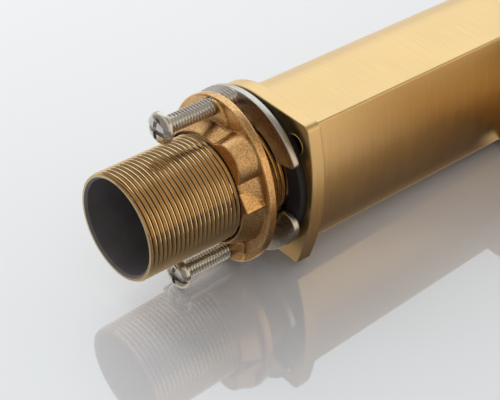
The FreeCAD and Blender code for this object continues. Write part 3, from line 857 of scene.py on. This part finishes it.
@dataclass
class JackScrew:
    """Pan-head screw of 1 mm pitch with a slot and a short cross in its head, in millimetres."""

    side: Side
    radius: float = 2.62
    pitch: float = 1.0
    tip: float = -2.25
    tip_chamfer: float = 0.6
    steps: int = 48
    seat: float = -27.2
    overlap: float = 0.2
    head_radius: float = 4.75
    head_height: float = 3.0
    head_edge: float = 0.35
    head_corner: float = 0.1
    head_steps: int = 64
    dome_steps: int = 12
    dome_powers: Flat = (0.7, 0.85)
    weld: float = 0.001
    slot_width: float = 1.45
    slot_depth: float = 1.7
    slot_overrun: float = 0.5
    cross_reach: float = 2.9
    recess_overrun: float = 1.0
    recess_flare: Flat = (0.06, -0.12)
    circle: float = 23.2
    angle: float = -10.5
    crease: float = 40.0

    def place(self) -> Flat:
        """Where the screw stands."""
        turn, reach = math.radians(self.angle), self.side.value * self.circle
        return reach * math.cos(turn), reach * math.sin(turn)

    def head(self, x: float, y: float) -> Piece:
        """Make the domed head with its recess.

        Args:
            x: Place of the axis.
            y: Place of the axis.

        Returns:
            The head.
        """
        across, upward = self.dome_powers
        end = self.seat - self.head_height
        outline = [
            (0.0, self.seat), (self.head_radius - self.head_edge, self.seat),
            (self.head_radius - self.head_corner, self.seat - self.head_corner),
        ]
        for step in range(self.dome_steps):
            turn = step / self.dome_steps * math.pi / 2
            radius = self.head_radius * math.cos(turn) ** across
            rise = (self.head_height - self.head_edge) * math.sin(turn) ** upward
            outline.append((radius, self.seat - self.head_edge - rise))
        outline.append((0.0, end))
        head = lathe("head", outline, self.head_steps, (x, y))
        with edited(head.data) as work:
            bmesh.ops.remove_doubles(work, verts=work.verts, dist=self.weld * MM)
            bmesh.ops.recalc_face_normals(work, faces=work.faces)
        half = self.slot_width / 2
        for size in ((half, self.head_radius + self.slot_overrun), (self.cross_reach, half)):
            cutter = self.recess(x, y, size, end)
            cut = head.modifiers.new("recess", "BOOLEAN")
            cut.operation, cut.object, cut.solver = "DIFFERENCE", cutter, "EXACT"
            settle(head)
            bpy.data.objects.remove(cutter)
        return head

    def recess(self, x: float, y: float, size: Flat, end: float) -> Piece:
        """Make one tapered bar of the driver's recess.

        Args:
            x: Place of the axis.
            y: Place of the axis.
            size: Half widths at the mouth.
            end: Height of the head's end.

        Returns:
            The cutting piece.
        """
        points = []
        levels = (end - self.recess_overrun, end + self.slot_depth)
        for height, flare in zip(levels, self.recess_flare):
            for sx, sy in ((-1, -1), (1, -1), (1, 1), (-1, 1)):
                points.append((x + sx * (size[0] + flare), y + sy * (size[1] + flare), height))
        faces = [(3, 2, 1, 0), (4, 5, 6, 7), (0, 1, 5, 4), (1, 2, 6, 5), (2, 3, 7, 6), (3, 0, 4, 7)]
        return new_piece("recess", points, faces)

    def shaft(self, x: float, y: float) -> Piece:
        """Make the threaded shaft with its closed tip.

        Args:
            x: Place of the axis.
            y: Place of the axis.

        Returns:
            The shaft.
        """
        ends = (self.seat - self.overlap, self.tip)
        thread = Thread(self.radius, self.pitch, *ends, self.tip_chamfer, self.steps)
        points, faces, high = thread.skin(x, y)
        points.append((x, y, self.tip))
        faces += [(high[i], high[(i + 1) % len(high)], len(points) - 1) for i in range(len(high))]
        return new_piece("shaft", points, faces)

    def build(self) -> Piece:
        """Make the screw.

        Returns:
            The screw.
        """
        parts = (self.shaft(*self.place()), self.head(*self.place()))
        side = self.side.name.lower()
        name = f"{side}_screw_cut"
        mesh = bpy.data.meshes.new(name)
        with edited(mesh) as work:
            for part in parts:
                work.from_mesh(part.data)
        for part in parts:
            bpy.data.objects.remove(part)
        mesh.shade_smooth()
        piece = linked(name, mesh)
        sharpen(piece, self.crease)
        coat(piece, STAINLESS)
        stand_in(piece, f"jack_screw_{side}", f"{side}_screw")
        return piece


@dataclass
class FixingNut:
    """Sand-cast nut: the CAD shape with the soft corners of a casting."""

    voxel: float = 0.22
    rounds: int = 3
    softness: float = 0.5

    def build(self) -> Piece:
        """Make the casting.

        Returns:
            The nut.
        """
        piece = solid_copy("fixing_nut_cast", "fixing_nut")
        cells = piece.modifiers.new("cells", "REMESH")
        cells.mode, cells.voxel_size = "VOXEL", self.voxel * MM
        soft = piece.modifiers.new("soft", "SMOOTH")
        soft.factor, soft.iterations = self.softness, self.rounds
        settle(piece)
        piece.data.shade_smooth()
        coat(piece, CAST_BRASS)
        stand_in(piece, "fixing_nut", "nut")
        return piece


@dataclass
class HorseshoeWasher:
    """Stamped washer with small rounded edges, in millimetres and degrees."""

    edge: float = 0.22
    edge_steps: int = 3
    edge_from: float = 50.0
    flat_within: float = 0.5
    crease: float = 40.0

    def build(self) -> Piece:
        """Make the washer.

        Returns:
            The washer.
        """
        piece = solid_copy("horseshoe_washer", "c_washer")
        within = math.radians(self.flat_within)
        with edited(piece.data) as work:
            bmesh.ops.dissolve_limit(work, angle_limit=within, verts=work.verts, edges=work.edges)
        bevel = piece.modifiers.new("round_over", "BEVEL")
        bevel.width, bevel.segments = self.edge * MM, self.edge_steps
        bevel.limit_method, bevel.angle_limit = "ANGLE", math.radians(self.edge_from)
        settle(piece)
        piece.data.shade_smooth()
        sharpen(piece, self.crease)
        coat(piece, WASHER_STEEL)
        stand_in(piece, "c_washer", "washer")
        return piece


@dataclass
class SealRing:
    """Rubber ring under the foot plate, with its rounded corners, in millimetres."""

    outline: Outline = ((17.2, 0.0), (22.8, 0.0), (22.8, 3.4), (17.2, 3.4))
    corner: float = 0.6
    corner_steps: int = 5
    corner_limit: float = 0.45
    steps: int = 192

    def rounded(self) -> list[Flat]:
        """Round every corner of the outline, within a share of the sides that meet there.

        Returns:
            The rounded outline.
        """
        result = []
        count = len(self.outline)
        for i, corner in enumerate(self.outline):
            here = Vector(corner)
            back = Vector(self.outline[i - 1]) - here
            ahead = Vector(self.outline[(i + 1) % count]) - here
            limits = (self.corner_limit * back.length, self.corner_limit * ahead.length)
            reach = min(self.corner, *limits)
            start, end = here + back.normalized() * reach, here + ahead.normalized() * reach
            for step in range(self.corner_steps + 1):
                t = step / self.corner_steps
                spot = start * (1 - t) ** 2 + here * 2 * t * (1 - t) + end * t**2
                result.append((spot.x, spot.y))
        return result

    def build(self) -> Piece:
        """Make the ring.

        Returns:
            The ring.
        """
        seal = lathe("seal_ring", self.rounded(), self.steps)
        coat(seal, RUBBER)
        stand_in(seal, "base_seal", "tap")
        return seal


@dataclass
class DomeTrim:
    """Dome cap with a smooth crown, in millimetres.

    The slope gives how far the crown rises from rim to hole, and how far it bends down.
    """

    axis_y: float = 0.4
    radius: float = 19.6
    hole: float = 10.5
    foot: float = 146.05
    rim: float = 0.25
    slope: Flat = (5.54, 1.24)
    slope_steps: int = 16
    wall: float = 1.2
    skirt: float = 18.35
    skirt_low: float = 143.4
    steps: int = 160
    crease: float = 40.0

    def build(self) -> Piece:
        """Make the cap.

        Returns:
            The cap.
        """
        outer = []
        rise, bend = self.slope
        for step in range(self.slope_steps + 1):
            part = step / self.slope_steps
            radius = self.radius + (self.hole - self.radius) * part
            outer.append((radius, self.foot + self.rim + rise * part - bend * part**2))
        inside = self.skirt - self.wall
        inner = [(r, height - self.wall) for r, height in reversed(outer) if r < inside]
        foot = [
            (inside, self.foot), (inside, self.skirt_low), (self.skirt, self.skirt_low),
            (self.skirt, self.foot), (self.radius, self.foot),
        ]
        cap = lathe("dome_trim", outer + inner + foot, self.steps, (0.0, self.axis_y))
        sharpen(cap, self.crease)
        coat(cap, COLUMN_GOLD)
        stand_in(cap, "dome_cap", "tap")
        return cap


@dataclass
class LocatingHole:
    """Rubbed rim of the blind hole in the foot plate, where it stands clear of the seal."""

    place: Flat = (16.0, 16.7)
    height: float = 2.2
    radius: float = 3.12
    wire: float = 0.15
    half_turn: float = 92.0
    steps: int = 40
    corners: int = 10

    def build(self) -> Piece:
        """Make the rim as an open arc of round section.

        Returns:
            The rim.
        """
        outward = math.atan2(self.place[1], self.place[0])
        points: list[Point] = []
        for step in range(self.steps + 1):
            turn = outward + math.radians(self.half_turn) * (2 * step / self.steps - 1)
            for corner in range(self.corners):
                lean = 2 * math.pi * corner / self.corners
                reach = self.radius + self.wire * math.cos(lean)
                points.append((
                    self.place[0] + reach * math.cos(turn), self.place[1] + reach * math.sin(turn),
                    self.height + self.wire * math.sin(lean),
                ))
        faces: list[Face] = []
        for step in range(self.steps):
            here, there = step * self.corners, (step + 1) * self.corners
            for corner in range(self.corners):
                after = (corner + 1) % self.corners
                faces.append((here + corner, here + after, there + after, there + corner))
        last = self.steps * self.corners
        faces += [tuple(reversed(range(self.corners))), tuple(range(last, last + self.corners))]
        rim = new_piece("locating_hole_rim", points, faces)
        coat(rim, COLUMN_GOLD)
        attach(rim, "tap")
        report(rim)
        return rim


@dataclass
class CadDressing:
    """Finishes for the CAD nodes that are shown as they are."""

    along: Sequence[str] = ("spout", "lever_handle")

    def dress(self) -> None:
        """Give each shown CAD node the material of its slot."""
        slots = {part["node"]: part["material_slot"] for part in frame["record"]["subparts"]}
        for name, node in frame["nodes"].items():
            finish = LONG_GOLD if name in self.along else SLOT_FINISH[slots[name]]
            coat(node, finish)
            log.info("%s wears %s", name, finish.name)


@dataclass(frozen=True)
class Band:
    """Part of the mirrored studio that lies beyond a height along one axis."""

    colour: Colour
    axis: str
    edge: Flat

    def share(self, tree: Tree, way: Socket) -> Socket:
        """Show where a direction points at the band.

        Args:
            tree: Node tree of the world.
            way: Direction that is looked in.

        Returns:
            Socket that is 1 in the band and 0 away from it.
        """
        axes = add(tree, "SeparateXYZ", Vector=way).outputs
        return ease(tree, axes[self.axis], *self.edge)


@dataclass(frozen=True)
class Patch:
    """Round part of the mirrored studio: its middle, and the cosines of its edge and core."""

    colour: Colour
    middle: Point
    edge: Flat

    def share(self, tree: Tree, way: Socket) -> Socket:
        """Show where a direction points at the patch.

        Args:
            tree: Node tree of the world.
            way: Direction that is looked in.

        Returns:
            Socket that is 1 in the patch and 0 away from it.
        """
        middle = tuple(Vector(self.middle).normalized())
        near = add(tree, "VectorMath", {"operation": "DOT_PRODUCT"}, i0=way, i1=middle)
        return ease(tree, near.outputs["Value"], *self.edge)


@dataclass
class Table:
    """Polished pale table, in millimetres. Upward from it is +X, as the tap lies on its side.

    In front of the tap the metal mirrors it in colours other than its own: a shade beside
    the fixing set, and beside the column a glow that changes with distance.
    """

    height: float = -26.8
    slope: float = 0.036
    half: float = 900.0
    colour: str = "#F2F2F4"
    gloss: float = 0.21
    shine: str = "#F2F9FF"
    shine_roughness: float = 0.03
    shade: str = "#857F78"
    shade_fades: Flat = (-6.0, 16.0)
    front_fades: Flat = (0.0, 20.0)
    glow: Sequence[tuple[float, str]] = (
        (28.0, "#857D80"), (46.0, "#988060"), (60.0, "#8A724E"),
        (72.0, "#CDB08A"), (81.0, "#FFF2E0"),
    )
    glow_reach: float = 100.0
    narrow: Flat = (18.0, 11.0)
    under_column: Flat = (20.5, 17.0)
    under_arms: Flat = (85.0, 95.0)
    first_bounce: Flat = (1.0, 0.1)

    def gap(self, tree: Tree, place: Mapping[str, Socket], path: Mapping[str, Socket]) -> Socket:
        """Find the narrow gap under the tap, which would look black from behind.

        Args:
            tree: Node tree of the material.
            place: Object coordinates, by axis.
            path: What is known of the light's path.

        Returns:
            Socket that is 1 where a first reflection shows the gap.
        """
        near = self.fade(tree, path["Ray Length"], self.narrow)
        column = self.fade(tree, place["Y"], self.under_column)
        arms = self.fade(tree, place["Z"], self.under_arms)
        gap = calc(tree, "MULTIPLY", near, calc(tree, "MAXIMUM", column, arms))
        first = calc(tree, "COMPARE", path["Ray Depth"], *self.first_bounce)
        return calc(tree, "MULTIPLY", gap, calc(tree, "MULTIPLY", path["Is Glossy Ray"], first))

    @staticmethod
    def fade(tree: Tree, value: Socket, edge: Flat) -> Socket:
        """Rise smoothly from 0 to 1 between two distances in millimetres."""
        return ease(tree, value, edge[0] * MM, edge[1] * MM)

    def laminate(self) -> bpy.types.Material:
        """Make the table's surface, which is clear from below.

        Returns:
            The material.
        """
        material = bpy.data.materials.new("polished_laminate")
        material.use_nodes = True
        tree = material.node_tree
        tree.nodes.clear()
        place = add(tree, "SeparateXYZ", Vector=add(tree, "TexCoord").outputs["Object"]).outputs
        path = add(tree, "LightPath").outputs
        front = self.fade(tree, place["Y"], self.front_fades)
        mirrored = calc(tree, "MULTIPLY", front, path["Is Glossy Ray"])
        off = remap(tree, place["Y"], (0.0, self.glow_reach * MM, 0.0, 1.0))
        glow = add(tree, "ValToRGB", Fac=off)
        fill_ramp(glow, [(away / self.glow_reach, linear(colour)) for away, colour in self.glow])
        lit = self.fade(tree, place["Z"], self.shade_fades)
        image = blend(tree, lit, linear(self.shade), glow.outputs["Color"])
        matt = add(tree, "BsdfDiffuse", Color=blend(tree, mirrored, linear(self.colour), image))
        shine = add(tree, "BsdfGlossy", Color=linear(self.shine), Roughness=self.shine_roughness)
        polish = calc(tree, "MULTIPLY_ADD", mirrored, -self.gloss, self.gloss)
        top = mix_shaders(tree, polish, matt.outputs[0], shine.outputs[0])
        below = add(tree, "NewGeometry").outputs["Backfacing"]
        unseen = calc(tree, "MAXIMUM", below, self.gap(tree, place, path))
        clear = add(tree, "BsdfTransparent").outputs[0]
        add(tree, "OutputMaterial", Surface=mix_shaders(tree, unseen, top, clear))
        return material

    def build(self) -> Piece:
        """Make the table that the tap lies on.

        Returns:
            The table.
        """
        half = self.half
        corners = [(-half, -half), (half, -half), (half, half), (-half, half)]
        points = [(self.height + self.slope * z, y, z) for y, z in corners]
        table = new_piece("table", points, [(0, 1, 2, 3)])
        table.data.materials.append(self.laminate())
        return table


@dataclass
class Studio:
    """One big soft lamp, a plain backdrop, and the studio that the metal mirrors instead.

    The surroundings stand in the world by direction, each over the one before it.
    """

    backdrop: str = "#F2F2F2"
    ambient: float = 0.55
    lamp_place: Point = (0.5, -0.606, 0.075)
    lamp_size: float = 0.8
    lamp_radiance: float = 1.9
    wall: str = "#B4A794"
    surroundings: Sequence[Band | Patch] = (
        Band(linear("#8E877C"), "X", (0.15, 0.5)),  # ceiling
        Patch(linear("#FFEBCB"), (0.2, 0.82, 0.53), (0.84, 0.97)),  # window
        Band(linear("#D6CAB8"), "Z", (0.38, 0.12)),  # the sides, towards the camera
        Band(linear("#8E8477"), "Z", (-0.1, -0.45)),  # behind the camera
        Band(linear("#EDE6DA"), "Z", (0.68, 0.95)),  # beyond the tap's top
        Patch((1.12, 1.15, 1.12, 1.0), (0.609, -0.590, 0.531), (0.76, 0.93)),  # softbox
        Patch(linear("#1E1812"), (0.165, -0.52, -0.84), (0.95, 0.99)),  # dark doorway
    )

    def world(self) -> None:
        """Light everything softly, and show a backdrop to the camera and a studio to the metal."""
        world = bpy.data.worlds.new("studio")
        bpy.context.scene.world = world
        world.use_nodes = True
        tree = world.node_tree
        tree.nodes.clear()
        way = add(tree, "TexCoord").outputs["Generated"]
        colour: Paint = linear(self.wall)
        for part in self.surroundings:
            colour = blend(tree, part.share(tree, way), colour, part.colour)
        path = add(tree, "LightPath").outputs
        seen = calc(tree, "MAXIMUM", path["Is Camera Ray"], path["Is Transmission Ray"])
        soft = add(tree, "Background", Color=linear("#FFFFFF"), Strength=self.ambient)
        mirrored = add(tree, "Background", Color=colour, Strength=1.0)
        pale = add(tree, "Background", Color=linear(self.backdrop), Strength=1.0)
        inner = mix_shaders(tree, path["Is Glossy Ray"], soft.outputs[0], mirrored.outputs[0])
        add(tree, "OutputWorld", Surface=mix_shaders(tree, seen, inner, pale.outputs[0]))

    def lamp(self) -> Piece:
        """Hang the big soft lamp over the far left of the table.

        Returns:
            The lamp.
        """
        data = bpy.data.lights.new("soft_lamp", "AREA")
        data.shape, data.size = "SQUARE", self.lamp_size
        data.energy = self.lamp_radiance * math.pi * self.lamp_size**2
        lamp = linked("soft_lamp", data)
        lamp.location = self.lamp_place
        lamp.rotation_euler = Vector(self.lamp_place).to_track_quat("Z", "Y").to_euler()
        lamp.visible_glossy = False
        return lamp

    def build(self) -> None:
        """Set up the surroundings and the lamp."""
        self.world()
        self.lamp()


@dataclass
class PhotoCamera:
    """The photograph's camera: place and clipping in metres, lens and sensor in millimetres."""

    place: Point = (0.251904, 0.256865, -0.229384)
    ahead: Point = (-0.608582, -0.590072, 0.530512)
    up: Point = (0.792725, -0.481493, 0.373834)
    lens: float = 106.98
    sensor: float = 36.0
    clip: Flat = (0.01, 20.0)

    def build(self) -> Piece:
        """Add the camera and make it the scene's.

        Returns:
            The camera.
        """
        data = bpy.data.cameras.new("photo_camera")
        data.lens, data.sensor_width = self.lens, self.sensor
        data.clip_start, data.clip_end = self.clip
        camera = linked("photo_camera", data)
        back = -Vector(self.ahead).normalized()
        right = Vector(self.up).cross(back).normalized()
        turn = Matrix((right, back.cross(right), back)).transposed().to_4x4()
        camera.matrix_world = Matrix.Translation(Vector(self.place)) @ turn
        bpy.context.scene.camera = camera
        return camera


def main() -> None:
    """Build the tap's looks and the studio round it."""
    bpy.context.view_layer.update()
    scene = bpy.context.scene
    scene.view_settings.view_transform = "Standard"
    PhotoCamera().build()
    Table().build()
    Studio().build()
    CadDressing().dress()
    Shank().build()
    FixingNut().build()
    HorseshoeWasher().build()
    for side in Side:
        JackScrew(side).build()
    SealRing().build()
    DomeTrim().build()
    LocatingHole().build()


if __name__ == "__main__":
    main()
